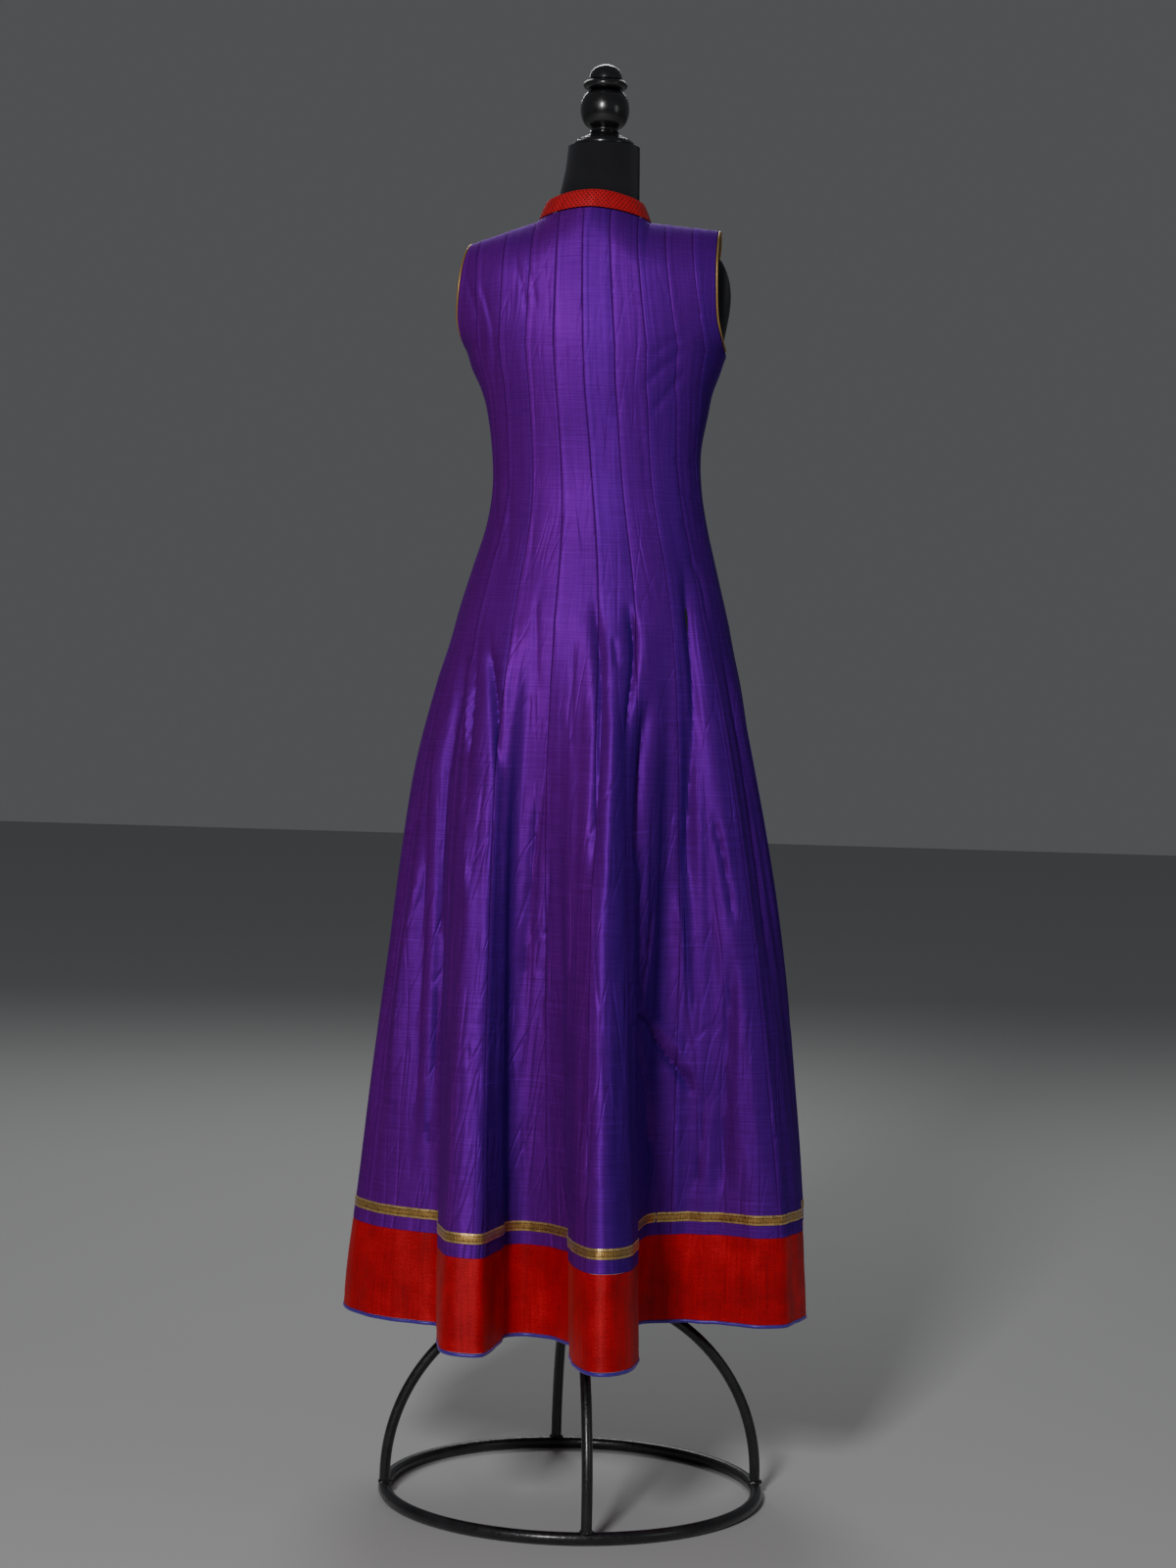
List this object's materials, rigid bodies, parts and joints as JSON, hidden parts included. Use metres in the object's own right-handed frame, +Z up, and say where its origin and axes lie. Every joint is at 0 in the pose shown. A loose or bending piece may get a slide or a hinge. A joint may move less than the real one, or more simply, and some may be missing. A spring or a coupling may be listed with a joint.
{
  "type": "sleeveless kurti on a dress form",
  "caption": "Floor-length flared sleeveless kurti with a stand collar and a hem band, on a limbless dress form with a round stand.",
  "frame": {"origin": "middle of the part's box, on the floor that the stand rests on", "axes": "+Z up along the stand's pole, -Y towards the wearer's front, +X towards the wearer's left"},
  "size_m": [0.526, 0.5746, 1.607],
  "materials": {
    "silk": "shot raw silk, soft sheen",
    "collar_silk": "figured silk with small diamonds",
    "band_silk": "slubbed raw silk",
    "ribbon_gold": "metallic woven ribbon",
    "piping_silk": "satin piping",
    "form_cloth": "smooth matt jersey",
    "finial_lacquer": "gloss black lacquer",
    "stand_steel": "satin black paint"
  },
  "bodies": {
    "root": {"back_kali_1": "silk", "back_kali_2": "silk", "back_kali_3": "silk", "back_kali_4": "silk", "back_kali_5": "silk", "back_kali_6": "silk", "back_kali_7": "silk", "back_kali_8": "silk", "back_kali_9": "silk", "back_kali_10": "silk", "front_kali_1": "silk", "front_kali_2": "silk", "front_kali_3": "silk", "front_kali_4": "silk", "front_kali_5": "silk", "front_kali_6": "silk", "front_kali_7": "silk", "front_kali_8": "silk", "front_kali_9": "silk", "front_kali_10": "silk", "hem_band": "band_silk", "hem_piping": "piping_silk", "gold_ribbon": "ribbon_gold", "collar": "collar_silk", "left_armhole_piping": "ribbon_gold", "right_armhole_piping": "ribbon_gold", "form_torso": "form_cloth", "neck_flange": "finial_lacquer", "finial": "finial_lacquer", "base_ring": "stand_steel", "leg_1": "stand_steel", "leg_2": "stand_steel", "leg_3": "stand_steel", "leg_4": "stand_steel", "hub": "stand_steel", "pole": "stand_steel"}
  },
  "joints": []
}
